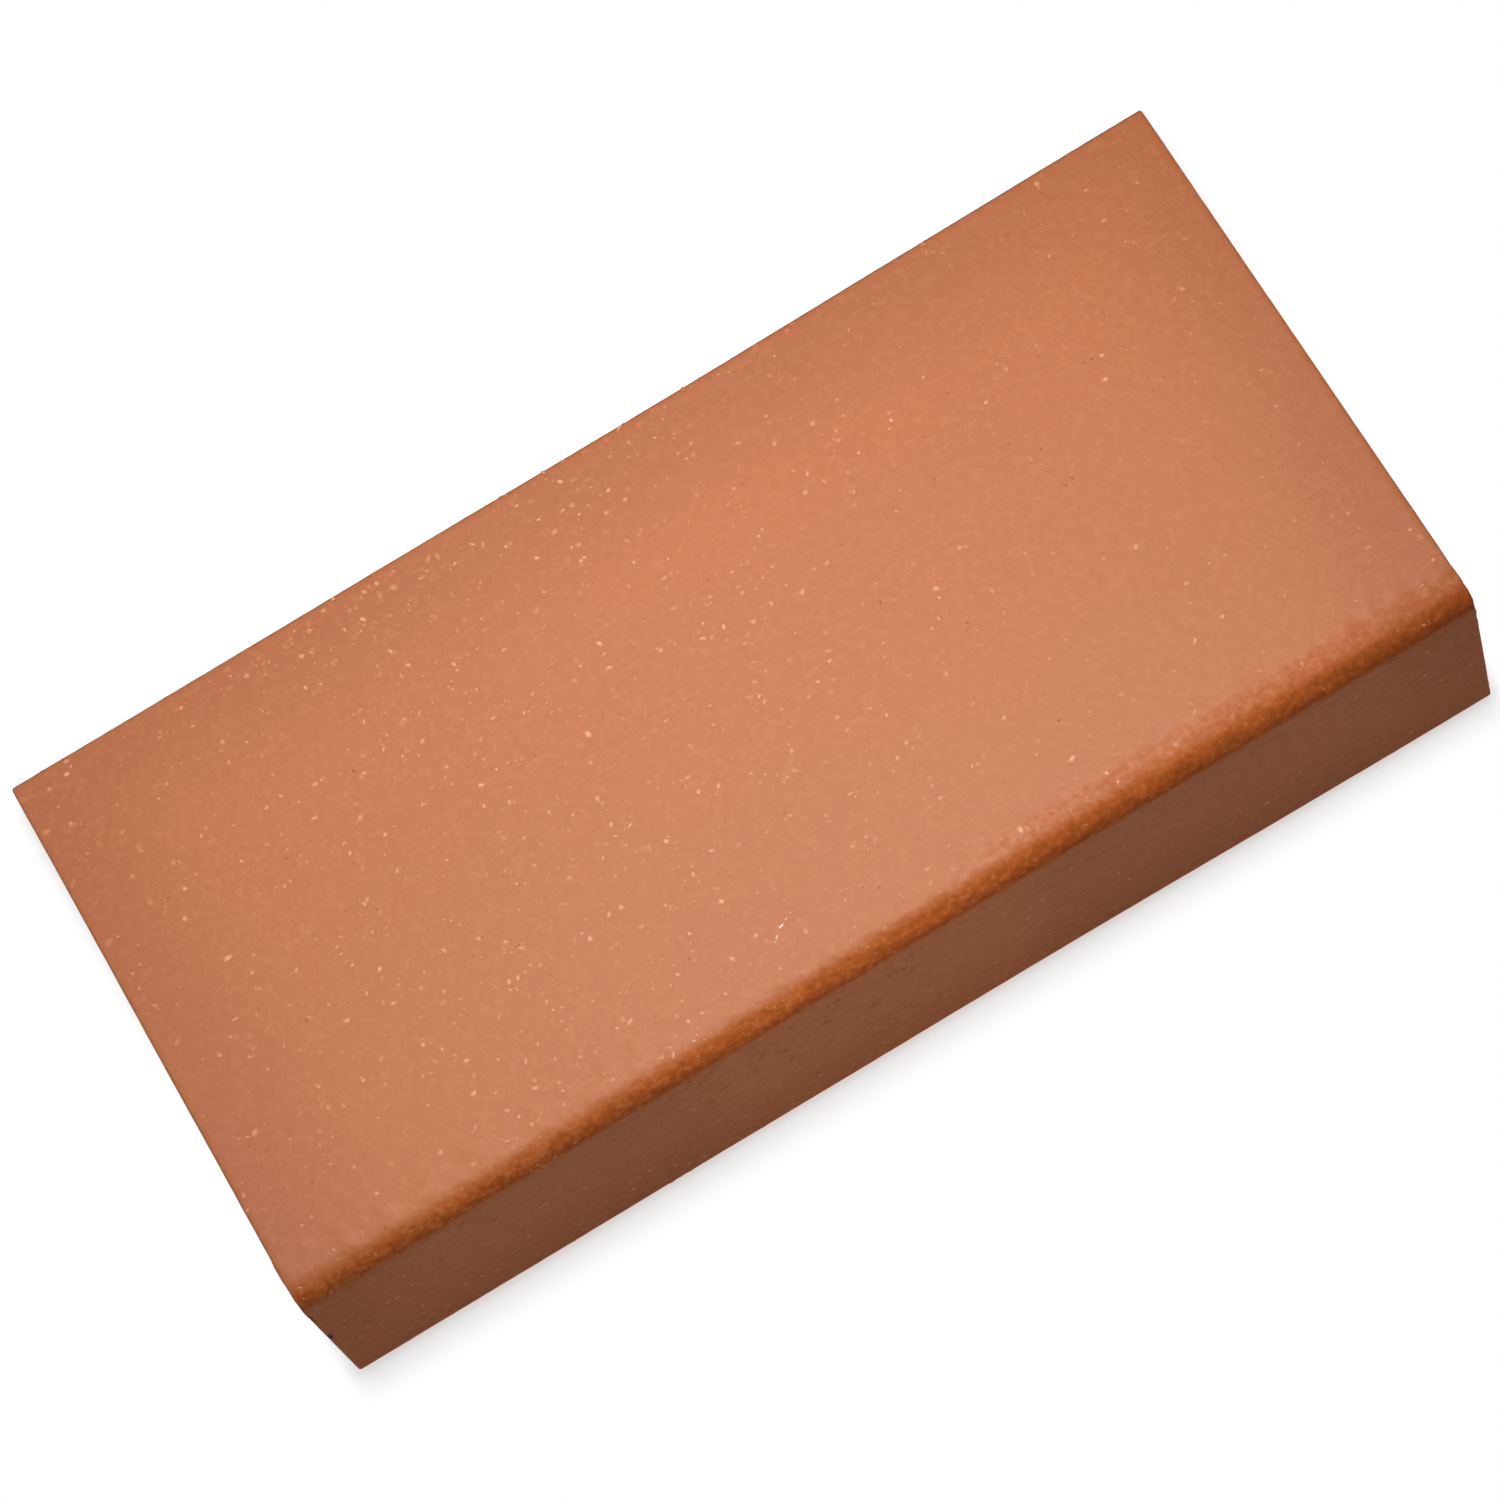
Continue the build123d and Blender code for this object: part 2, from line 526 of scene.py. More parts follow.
@dataclass(frozen=True)
class ClinkerFinish:
    """Vitrified brick clay, extruded and fired unglazed: satin where the die pressed it, else matt.

    Sizes and heights are in millimetres.
    """

    name: str
    clay: str
    flashed: str
    pale: str
    sheen: Sheen
    cloud_size: float
    mottle_size: float
    peel_size: float
    peel_height: float
    front: ScrapedFront | None = None
    # Painted shade: the colour that darkens the margin towards the cut ends, the back edge and the foot
    edge_shade: str = "#EFEDEC"
    cloud_span: Span = (0.3, 0.7)
    mottle_span: Span = (0.46, 0.72)
    mottle_detail: float = 3.0
    mottle_roughness: float = 0.65
    peel_roughness: float = 0.55
    uneven_sheen: float = 0.12
    drag_height: float = 0.0
    drag_size: float = 0.9
    drag_stretch: Triple = (0.02, 1.0, 1.0)
    pore_share: float = 0.0
    pore_spacing: float = 2.4
    pore_span: Span = (0.2, 0.08)
    pore_depth: float = 0.15
    pore_colour: str = "#4A2412"
    ior: float = 1.5

    def colour(self, add: Adder, in_mm: Source) -> tuple[Source, Source]:
        """Adds the clay's colour: broad kiln flashing, then small clouds of paler body.

        Args:
            add: adds a node to the material's tree.
            in_mm: the place on the tile, in millimetres.

        Returns:
            The colour and the small clouds.
        """
        broad = add(NOISE, {"Vector": in_mm, "Scale": 1 / self.cloud_size, "Detail": SOFT_DETAIL})
        small = add(NOISE, {
            "Vector": in_mm, "Scale": 1 / self.mottle_size, "Detail": self.mottle_detail,
            "Roughness": self.mottle_roughness})
        broad_share = add(RANGE, (broad, *self.cloud_span))
        small_share = add(RANGE, (small, *self.mottle_span))
        flashed = add(MIX, (broad_share, linear(self.flashed), linear(self.clay)), data_type="RGBA")
        return add(MIX, (small_share, flashed, linear(self.pale)), data_type="RGBA"), small

    def pores(self, add: Adder, in_mm: Source) -> Source:
        """Adds open pores, one to a cell and only in some cells.

        Args:
            add: adds a node to the material's tree.
            in_mm: the place on the tile, in millimetres.

        Returns:
            The pores as a mask from 0 to 1.
        """
        cell = add("ShaderNodeTexVoronoi", {"Vector": in_mm, "Scale": 1 / self.pore_spacing})
        well = add(RANGE, (cell, *self.pore_span), interpolation_type="SMOOTHSTEP")
        chance = add("ShaderNodeSeparateColor", (cell.outputs["Color"],))
        chosen = add(MATH, (chance, self.pore_share), operation="LESS_THAN")
        return add(MATH, (well, chosen), operation="MULTIPLY")

    def material(self) -> bpy.types.Material:
        """Builds the finish as a node material.

        Returns:
            The material, with patterns in millimetres on Object coordinates.
        """
        material, add = new_material(self.name)
        in_mm = add(VECTOR, (add("ShaderNodeTexCoord").outputs["Object"], 1 / MM), operation="SCALE")
        colour, clouds = self.colour(add, in_mm)
        roughness, specular = self.sheen.roughness, self.sheen.specular
        margin = add(MARK, attribute_name="margin").outputs["Fac"]

        # Relief in millimetres: orange peel, then grit, drag lines and pores where the finish has them
        peel = add(NOISE, {
            "Vector": in_mm, "Scale": 1 / self.peel_size, "Detail": CRISP_DETAIL,
            "Roughness": self.peel_roughness})
        height = add(MATH, (peel, self.peel_height), operation="MULTIPLY")
        if self.front:
            front = self.front
            zones = front.zones(add, clouds)
            grit = add(NOISE, {"Vector": in_mm, "Scale": 1 / front.grit_size, "Detail": SOFT_DETAIL})
            colour = front.tint(add, zones, clouds, grit, colour)
            roughness, specular = front.sheen(add, zones, self.sheen, margin)
            gritty = add(RANGE, (zones.facing, *front.gritty_span, 0.0, front.grit_height))
            height = add(MATH, (grit, gritty, height), operation="MULTIPLY_ADD")
        # Painted shade: darker at the margin, towards the cut ends, the back edge and the foot
        colour = add(MIX, (margin, colour, linear(self.edge_shade)), data_type="RGBA", blend_type="MULTIPLY")
        if self.drag_height:
            drawn_out = add(VECTOR, (in_mm, self.drag_stretch), operation="MULTIPLY")
            drag = add(NOISE, {"Vector": drawn_out, "Scale": 1 / self.drag_size, "Detail": CRISP_DETAIL})
            height = add(MATH, (drag, self.drag_height, height), operation="MULTIPLY_ADD")
        if self.pore_share:
            pores = self.pores(add, in_mm)
            height = add(MATH, (pores, -self.pore_depth, height), operation="MULTIPLY_ADD")
            colour = add(MIX, (pores, colour, linear(self.pore_colour)), data_type="RGBA")
        bump = add("ShaderNodeBump", {"Strength": 1.0, "Distance": MM, "Height": height})

        cloudy = add(MATH, (clouds, NOISE_MIDDLE), operation="SUBTRACT")
        uneven = add(MATH, (cloudy, self.uneven_sheen, roughness), operation="MULTIPLY_ADD")
        shader = add("ShaderNodeBsdfPrincipled", {
            "Base Color": colour, "Roughness": uneven, "IOR": self.ior, "Specular IOR Level": specular,
            "Normal": bump})
        add("ShaderNodeOutputMaterial", {"Surface": shader})
        return material


@dataclass(frozen=True)
class GrainFinish:
    """Grains and flecks in the skin, among them painted glints and painted shade: each has a core of its own
    strength, which fades into the clay.
    """

    name: str
    rim: str
    core: str
    sheen: Sheen
    ior: float = 1.54

    def material(self) -> bpy.types.Material:
        """Builds the finish as a node material.

        Returns:
            The material.
        """
        material, add = new_material(self.name)
        strength = add(MARK, attribute_name="strength").outputs["Fac"]
        depth = add(MARK, attribute_name="depth").outputs["Fac"]
        share = add(MATH, (strength, depth), operation="MULTIPLY")
        colour = add(MIX, (share, linear(self.rim), linear(self.core)), data_type="RGBA")
        shader = add("ShaderNodeBsdfPrincipled", {
            "Base Color": colour, "Roughness": self.sheen.roughness, "IOR": self.ior,
            "Specular IOR Level": self.sheen.specular})
        add("ShaderNodeOutputMaterial", {"Surface": shader})
        return material


@dataclass
class TileBody:
    """The fired tile itself: its section swept along the nosing, eased at the cut ends and uneven.

    The length is in metres, the other sizes in millimetres, and spans near the nosing in its radii.
    """

    section: TileSection
    length: float
    end_arris: float = 0.5
    end_rings: int = 4
    columns: int = 244
    seed: float = 7.0
    tread_relief: float = 0.12
    nosing_relief: float = 0.8
    relief_size: float = 3.4
    relief_span: Span = (1.7, 1.0)
    nearness_span: Span = (1.25, 1.0)
    wave_height: float = 0.25
    wave_size: float = 70.0
    flare: float = 0.012
    margin: float = 30.0
    margin_blend: float = 10.0
    sharp_angle: float = 50.0
    end_squareness: float = 0.98
    skin: ClinkerFinish = field(default_factory=lambda: ClinkerFinish(
        # Die skin: smooth satin terracotta with a tight orange peel
        name="clinker_die_skin_fired", clay="#C36B32", flashed="#C06931", pale="#CB7640",
        sheen=Sheen(0.47, 0.5), cloud_size=45.0, mottle_size=1.5, peel_size=1.3, peel_height=0.06,
        front=ScrapedFront()))
    keyed: ClinkerFinish = field(default_factory=lambda: ClinkerFinish(
        # Keyed back: the same clay, left matt and dragged along the extrusion
        name="clinker_keyed_back_fired", clay="#B8602F", flashed="#A85427", pale="#C67545",
        sheen=Sheen(0.7, 0.3), cloud_size=30.0, mottle_size=5.0, peel_size=1.2, peel_height=0.03,
        drag_height=0.12, pore_spacing=3.5, pore_share=0.15))
    cut: ClinkerFinish = field(default_factory=lambda: ClinkerFinish(
        # Wire-cut end: open, sandy body with the pores of the clay cut through
        name="clinker_wire_cut_end_fired", clay="#B75F30", flashed="#A95629", pale="#C77A4B",
        sheen=Sheen(0.75, 0.3), cloud_size=14.0, mottle_size=4.0, peel_size=0.7, peel_height=0.05,
        pore_share=0.3))
    piece: bpy.types.Object | None = field(default=None, init=False)

    def section_curve(self, add: Adder, given: bpy.types.NodeOutputs) -> Source:
        """Adds the section as a curve: corners rounded, straights divided to the spacing of their side.

        Args:
            add: adds a node to the tree.
            given: the tree's inputs.

        Returns:
            The curve, which carries its own points, the way each one faces and its outward direction.
        """
        loop = add("GeometryNodeMeshToCurve", {"Mesh": given["Geometry"]})
        steps = add(FIELD, ("corner_steps",), data_type="INT")
        radius = add(FIELD, ("corner_radius",))
        rounded = add("GeometryNodeFilletCurve", {
            "Curve": loop, "Count": steps, "Radius": radius, "Limit Radius": True}, mode="POLY")
        here = add("GeometryNodeInputPosition")
        onward = add("GeometryNodeOffsetPointInCurve", {"Offset": 1}).outputs["Point Index"]
        there = add("GeometryNodeFieldAtIndex", {"Value": here, "Index": onward}, data_type="FLOAT_VECTOR")
        gap = add(VECTOR, (here, there), operation="DISTANCE")
        spacing = add(FIELD, ("grid_spacing",))
        parts = add(MATH, (gap, spacing), operation="DIVIDE")
        cuts = add(MATH, (parts,), operation="FLOOR")
        curve = add("GeometryNodeSubdivideCurve", {"Curve": rounded, "Cuts": cuts})
        ahead = add("GeometryNodeInputTangent")
        outward = add(VECTOR, (ahead, (1.0, 0.0, 0.0)), operation="CROSS_PRODUCT")
        facing = add(VECTOR, (outward, given["Tread Normal"]), operation="DOT_PRODUCT")
        for name, value in (("section_point", here), ("outward", outward)):
            curve = add(STORE, {"Geometry": curve, "Name": name, "Value": value}, data_type="FLOAT_VECTOR")
        return add(STORE, {"Geometry": curve, "Name": "facing", "Value": facing})

    def path_curve(self, add: Adder, given: bpy.types.NodeOutputs, half: Source) -> Source:
        """Adds the path along the nosing: even columns, with closer rings that round the two cut ends.

        Args:
            add: adds a node to the tree.
            given: the tree's inputs.
            half: half the tile's length.

        Returns:
            The path, which carries the place along the tile and how far the section draws in there.
        """
        arris, rings, columns = given["End Arris"], given["End Rings"], given["Columns"]
        index = add("GeometryNodeInputIndex")
        last = add(MATH, (columns, 1.0), operation="SUBTRACT")
        to_last = add(MATH, (last, index), operation="SUBTRACT")
        from_end = add(MATH, (index, to_last), operation="MINIMUM")
        turn = add(RANGE, (from_end, 0.0, rings, 0.0, FULL_TURN / 4))
        rise = add(MIX, (add(MATH, (turn,), operation="COSINE"), arris, 0.0))
        inset = add(MIX, (add(MATH, (turn,), operation="SINE"), arris, 0.0))
        span = add(MATH, (arris, -2.0, given["Length"]), operation="MULTIPLY_ADD")
        gaps = add(MATH, (rings, -2.0, last), operation="MULTIPLY_ADD")
        step = add(MATH, (span, gaps), operation="DIVIDE")
        past_rings = add(MATH, (from_end, rings), operation="SUBTRACT")
        past_rings = add(MATH, (past_rings, 0.0), operation="MAXIMUM")
        short_of_end = add(MATH, (past_rings, step, rise), operation="MULTIPLY_ADD")
        reach = add(MATH, (half, short_of_end), operation="SUBTRACT")
        past_middle = add(MATH, (index, to_last), operation="SUBTRACT")
        hand = add(MATH, (past_middle,), operation="SIGN")
        along = add(MATH, (reach, hand), operation="MULTIPLY")
        line = add("GeometryNodeCurvePrimitiveLine", {"End": (1.0, 0.0, 0.0)})
        path = add("GeometryNodeResampleCurve", {"Curve": line, "Count": columns})
        path = add(STORE, {"Geometry": path, "Name": "along", "Value": along})
        return add(STORE, {"Geometry": path, "Name": "inset", "Value": inset})

    def sweep_tree(self, values: dict[str, Any]) -> bpy.types.NodeTree:
        """Builds the tree that rounds the section's corners, sweeps it and roughens it.

        Args:
            values: the tree's inputs by name.

        Returns:
            The geometry tree.
        """
        tree, add, given = new_tree("swept_tile", values)
        half = add(MATH, (given["Length"], 0.5), operation="MULTIPLY")
        swept = add("GeometryNodeCurveToMesh", {
            "Curve": self.path_curve(add, given, half), "Profile Curve": self.section_curve(add, given),
            "Fill Caps": True})

        here = add("GeometryNodeInputPosition")
        section_point = add(FIELD, ("section_point",), data_type="FLOAT_VECTOR")
        outward = add(FIELD, ("outward",), data_type="FLOAT_VECTOR")
        along, exposed = add(FIELD, ("along",)), add(FIELD, ("exposed",))
        lengthwise = add(JOIN, {"X": along})
        on_section = add(VECTOR, (section_point, lengthwise))
        eased = add(MATH, (add(FIELD, ("inset",)), exposed), operation="MULTIPLY")
        inwards = add(MATH, (eased, -1.0), operation="MULTIPLY")
        drawn_in = add(VECTOR, (outward, inwards), operation="SCALE")
        tile = add(MOVE, {"Geometry": swept, "Position": on_section, "Offset": drawn_in})

        # Unevenness of the fired clay, in millimetres: slow waves everywhere, livelier on the nosing
        in_mm = add(VECTOR, (here, 1 / MM), operation="SCALE")
        to_nosing = add(VECTOR, (section_point, given["Nosing Centre"]), operation="DISTANCE")
        radii = add(MATH, (to_nosing, given["Nosing Radius"]), operation="DIVIDE")
        liveliness = add(RANGE, (radii, *self.relief_span, given["Tread Relief"], given["Nosing Relief"]),
                         interpolation_type="SMOOTHSTEP")
        heights = []
        for size, detail, amount in (
            (given["Relief Size"], CRISP_DETAIL, liveliness),
            (given["Wave Size"], SOFT_DETAIL, given["Wave Height"]),
        ):
            scale = add(MATH, (1.0, size), operation="DIVIDE")
            noise = add(NOISE, {"Vector": in_mm, "W": given["Seed"], "Scale": scale, "Detail": detail},
                        noise_dimensions="4D")
            off_middle = add(MATH, (noise, NOISE_MIDDLE), operation="SUBTRACT")
            heights.append(add(MATH, (off_middle, amount), operation="MULTIPLY"))
        height = add(MATH, tuple(heights), operation="ADD")
        in_metres = add(MATH, (height, MM), operation="MULTIPLY")
        lift = add(VECTOR, (add("GeometryNodeInputNormal"), in_metres), operation="SCALE")
        tile = add(MOVE, {"Geometry": tile, "Offset": lift})

        # One end shrank a little less in the kiln, so the section spreads towards it
        share_along = add(MATH, (along, half), operation="DIVIDE")
        wider = add(RANGE, {"Value": share_along, "To Max": given["Flare"]}, interpolation_type="SMOOTHSTEP")
        spread = add(MATH, (add(SPLIT, (here,)).outputs["Y"], wider), operation="MULTIPLY")
        tile = add(MOVE, {"Geometry": tile, "Offset": add(JOIN, {"Y": spread})})

        # Painted shade: the margin is darker towards the cut ends, the back edge and the foot, where the
        # light falls off and the lip meets the floor
        from_middle = add(MATH, (along,), operation="ABSOLUTE")
        nearest = add(MATH, (half, from_middle), operation="SUBTRACT")
        for edge in ("Back Edge", "Foot Edge"):
            to_edge = add(VECTOR, (section_point, given[edge]), operation="DISTANCE")
            nearest = add(MATH, (nearest, to_edge, given["Margin Blend"]), operation="SMOOTH_MIN")
        margin = add(RANGE, (nearest, given["Margin"], 0.0), interpolation_type="SMOOTHSTEP")
        nearness = add(RANGE, (radii, *self.nearness_span), interpolation_type="SMOOTHSTEP")
        for name, value in (("margin", margin), ("nearness", nearness)):
            tile = add(STORE, {"Geometry": tile, "Name": name, "Value": value})
        for name in ("section_point", "outward", "inset", "corner_radius", "corner_steps", "grid_spacing"):
            tile = add(FORGET, {"Geometry": tile, "Name": name})

        # Finishes: skin on all that shows, keyed back inside, cut clay on the ends
        tile = add("GeometryNodeSetShadeSmooth", {"Geometry": tile})
        tile = add("GeometryNodeRealizeInstances", {"Geometry": tile})
        end_on = add(SPLIT, (add("GeometryNodeInputNormal"),)).outputs["X"]
        squareness = add(MATH, (end_on,), operation="ABSOLUTE")
        is_end = add(MATH, (squareness, self.end_squareness), operation="GREATER_THAN")
        is_hidden = add(MATH, (exposed, HIDDEN_BELOW), operation="LESS_THAN")
        for finish, where in (("Skin", True), ("Keyed Back", is_hidden), ("Cut End", is_end)):
            tile = add(PAINT, {"Geometry": tile, "Selection": where, "Material": given[finish]})
        add("NodeGroupOutput", {"Geometry": tile})
        return tree

    def build(self) -> None:
        """Sweeps the section into the tile's plain mesh."""
        section = self.section
        values = {
            "Length": self.length, "End Arris": self.end_arris * MM, "End Rings": self.end_rings,
            "Columns": self.columns, "Tread Normal": section.tread_normal,
            "Nosing Centre": section.nosing_centre, "Nosing Radius": section.nosing_radius * MM,
            "Back Edge": section.back_edge, "Foot Edge": section.foot_edge, "Margin": self.margin * MM,
            "Margin Blend": self.margin_blend * MM, "Tread Relief": self.tread_relief,
            "Nosing Relief": self.nosing_relief, "Relief Size": self.relief_size,
            "Wave Height": self.wave_height, "Wave Size": self.wave_size, "Flare": self.flare,
            "Seed": self.seed, "Skin": self.skin.material(), "Keyed Back": self.keyed.material(),
            "Cut End": self.cut.material()}
        self.piece = section.outline()
        run_tree(self.piece, self.sweep_tree(values), values)
        self.piece.data.set_sharp_from_angle(angle=radians(self.sharp_angle))

    def dress(self) -> None:
        """Puts the tile in place of its solid."""
        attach(self.piece, BODY)
        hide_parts(NODE)


@dataclass
class SkinDetail:
    """Something small in the skin of the tile, which goes where the tile goes."""

    name: str
    body: TileBody
    finish: GrainFinish
    piece: bpy.types.Object | None = field(default=None, init=False)

    def dress(self) -> None:
        """Lets the detail go with the tile."""
        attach(self.piece, BODY)


@dataclass
class ScatteredGrains(SkinDetail):
    """Grains burnt into part of the exposed skin, in loose clusters and fewer towards the two ends.

    Sizes are in millimetres, and the clearance from the cut ends in sizes of the largest grain. Shares
    along the tile are parts of its length from the middle; facing is 1 on the tread and 0 on the lip.
    """

    per_square_cm: float
    smallest: float
    largest: float
    near_end_share: float
    far_end_share: float
    rarity: float
    seed: int
    least_facing: float = -1.0
    most_facing: float = 1.1
    cluster_size: float = 3.0
    cluster_span: Span = (0.42, 0.7)
    cluster_shares: Span = (0.15, 3.0)
    near_end_span: Span = (-0.5, -0.25)
    far_end_span: Span = (-0.1, 0.3)
    narrowest: Triple = (0.8, 0.6, 0.04)
    widest: Triple = (1.7, 1.0, 0.08)
    tilt: float = 0.04
    segments: int = 7
    rings: int = 3
    fade_span: Span = (0.5, 1.0)
    lumps_per_grain: float = 0.8
    size_rarity: float = 2.0
    end_clearance: float = 2.0

    def scatter_tree(self, values: dict[str, Any]) -> bpy.types.NodeTree:
        """Builds the tree that scatters grains over the exposed faces.

        Args:
            values: the tree's inputs by name.

        Returns:
            The geometry tree.
        """
        tree, add, given = new_tree("scattered_grains", values)
        here = add("GeometryNodeInputPosition")
        along = add(MATH, (add(SPLIT, (here,)), given["Length"]), operation="DIVIDE")
        near_end = add(RANGE, (along, *self.near_end_span, given["Near End Share"], 1.0))
        far_end = add(RANGE, (along, *self.far_end_span, 1.0, given["Far End Share"]),
                      interpolation_type="SMOOTHSTEP")
        cluster_scale = add(MATH, (1.0, given["Cluster Size"]), operation="DIVIDE")
        clusters = add(NOISE, {"Vector": here, "Detail": SOFT_DETAIL, "Scale": cluster_scale})
        patchy = add(RANGE, (clusters, *self.cluster_span, *self.cluster_shares))
        density = given["Density"]
        for share in (near_end, far_end, patchy):
            density = add(MATH, (density, share), operation="MULTIPLY")
        facing = add(FIELD, ("facing",))
        from_middle = add(MATH, (along,), operation="ABSOLUTE")
        chosen = add(MATH, (add(FIELD, ("exposed",)), EXPOSED_ABOVE), operation="GREATER_THAN")
        for value, test, limit in (
            (facing, "GREATER_THAN", "Least Facing"),
            (facing, "LESS_THAN", "Most Facing"),
            (from_middle, "LESS_THAN", "Reach"),
        ):
            within = add(MATH, (value, given[limit]), operation=test)
            chosen = add(MATH, (chosen, within), operation="MULTIPLY")
        spots = add("GeometryNodeDistributePointsOnFaces", {
            "Mesh": given["Geometry"], "Selection": chosen, "Density": density, "Seed": given["Seed"]})

        # Each grain: a flat pebble of its own size, turn and strength, deepest in colour at its middle
        size_seed, shape_seed, turn_seed, strength_seed = [
            add(MATH, (given["Seed"], number), operation="ADD") for number in (1, 2, 3, 4)]
        ball = add("GeometryNodeMeshUVSphere", {"Segments": self.segments, "Rings": self.rings})
        depth = add(RANGE, (add(SPLIT, (here,)).outputs["Z"], *self.fade_span))
        pebble = add(STORE, {"Geometry": ball, "Name": "depth", "Value": depth})
        size_share = add(MATH, (add(RANDOM, {"Seed": size_seed}), self.size_rarity), operation="POWER")
        radius = add(RANGE, (size_share, 0.0, 1.0, given["Smallest"], given["Largest"]))
        shape = add(RANDOM, {"Min": self.narrowest, "Max": self.widest, "Seed": shape_seed},
                    data_type="FLOAT_VECTOR")
        size = add(VECTOR, (shape, radius), operation="SCALE")
        least_turn, most_turn = (-self.tilt, -self.tilt, 0.0), (self.tilt, self.tilt, FULL_TURN)
        turn = add(RANDOM, {"Min": least_turn, "Max": most_turn, "Seed": turn_seed}, data_type="FLOAT_VECTOR")
        spin = add("FunctionNodeEulerToRotation", (turn,))
        turned = add("FunctionNodeRotateRotation", (spots.outputs["Rotation"], spin), rotation_space="LOCAL")
        upright = add(STORE, {"Geometry": spots, "Name": "upright", "Value": spots.outputs["Normal"]},
                      data_type="FLOAT_VECTOR")
        grains = add("GeometryNodeInstanceOnPoints", {
            "Points": upright, "Instance": pebble, "Rotation": turned, "Scale": size})
        strength = add(MATH, (add(RANDOM, {"Seed": strength_seed}), given["Rarity"]), operation="POWER")
        grains = add(STORE, {"Geometry": grains, "Name": "strength", "Value": strength}, domain="INSTANCE")
        grains = add("GeometryNodeRealizeInstances", {"Geometry": grains})

        # Outline of each grain, made uneven in the plane of the skin
        lump_scale = add(MATH, (self.lumps_per_grain, given["Largest"]), operation="DIVIDE")
        lumps = add(NOISE, {"Vector": here, "Detail": 0.0, "Scale": lump_scale}).outputs["Color"]
        off_middle = add(VECTOR, (lumps, (NOISE_MIDDLE,) * 3), operation="SUBTRACT")
        pushed = add(VECTOR, (off_middle, given["Largest"]), operation="SCALE")
        normal = add(FIELD, ("upright",), data_type="FLOAT_VECTOR")
        out_of_skin = add(VECTOR, (pushed, normal), operation="PROJECT")
        in_skin = add(VECTOR, (pushed, out_of_skin), operation="SUBTRACT")
        grains = add(MOVE, {"Geometry": grains, "Offset": in_skin})
        grains = add(FORGET, {"Geometry": grains, "Name": "upright"})
        grains = add(PAINT, {"Geometry": grains, "Material": given["Grain"]})
        add("NodeGroupOutput", {"Geometry": grains})
        return tree

    def build(self) -> None:
        """Scatters the grains over a copy of the tile's mesh and keeps only the grains."""
        clearance = self.end_clearance * self.largest * MM
        values = {
            "Density": self.per_square_cm * SQUARE_CM_TO_M, "Near End Share": self.near_end_share,
            "Far End Share": self.far_end_share, "Least Facing": self.least_facing,
            "Most Facing": self.most_facing, "Reach": 0.5 - clearance / self.body.length,
            "Cluster Size": self.cluster_size * MM, "Smallest": self.smallest * MM,
            "Largest": self.largest * MM, "Rarity": self.rarity, "Seed": self.seed,
            "Length": self.body.length, "Grain": self.finish.material()}
        self.piece = bpy.data.objects.new(self.name, self.body.piece.data.copy())
        bpy.context.collection.objects.link(self.piece)
        run_tree(self.piece, self.scatter_tree(values), values)


@dataclass(frozen=True)
class Fleck:
    """One placed fleck: where it lies and heads in the frame, its size in millimetres and its strength."""

    place: Triple
    heading: Triple
    length: float
    width: float
    strength: float


@dataclass
class PlacedFlecks(SkinDetail):
    """A mark left on the skin, or painted shade laid on it: a row of flat flecks that have places of their
    own, heights in millimetres.
    """

    flecks: tuple[Fleck, ...]
    corners: int = 12
    crown: float = 0.07
    rim: float = 0.03
    root: float = 0.15

    def build(self) -> None:
        """Lays each fleck on the nearest skin as a closed, very flat double cone."""
        points, faces, depths, strengths = [], [], [], []
        for fleck in self.flecks:
            _, place, normal, _ = self.body.piece.closest_point_on_mesh(Vector(fleck.place) * MM)
            heading = Vector(fleck.heading)
            ahead = (heading - normal * heading.dot(normal)).normalized() * fleck.length / 2
            aside = normal.cross(ahead).normalized() * fleck.width / 2
            top, bottom, ring = range(len(points), len(points) + 3)
            points += [place + normal * self.crown * MM, place - normal * self.root * MM]
            for corner in range(self.corners):
                turn = FULL_TURN * corner / self.corners
                points.append(place + (ahead * cos(turn) + aside * sin(turn) + normal * self.rim) * MM)
                here, after = ring + corner, ring + (corner + 1) % self.corners
                faces += [(top, here, after), (bottom, after, here)]
            depths += [1.0] + [0.0] * (self.corners + 1)
            strengths += [fleck.strength] * (self.corners + 2)
        mesh = bpy.data.meshes.new(self.name)
        mesh.from_pydata(points, [], faces)
        for name, numbers in (("depth", depths), ("strength", strengths)):
            mesh.attributes.new(name, "FLOAT", "POINT").data.foreach_set("value", numbers)
        mesh.materials.append(self.finish.material())
        self.piece = bpy.data.objects.new(self.name, mesh)
        bpy.context.collection.objects.link(self.piece)


@dataclass(frozen=True)
class Softbox:
    """A square soft lamp, aimed at the tile; places and size in metres."""

    name: str
    place: Triple
    aim: Triple
    size: float
    watts: float

    def build(self) -> None:
        """Adds the lamp."""
        lamp = bpy.data.lights.new(self.name, "AREA")
        lamp.shape = "SQUARE"
        lamp.size = self.size
        lamp.energy = self.watts
        shown = bpy.data.objects.new(self.name, lamp)
        bpy.context.collection.objects.link(shown)
        shown.location = self.place
        shown.rotation_euler = (Vector(self.aim) - Vector(self.place)).to_track_quat("-Z", "Y").to_euler()


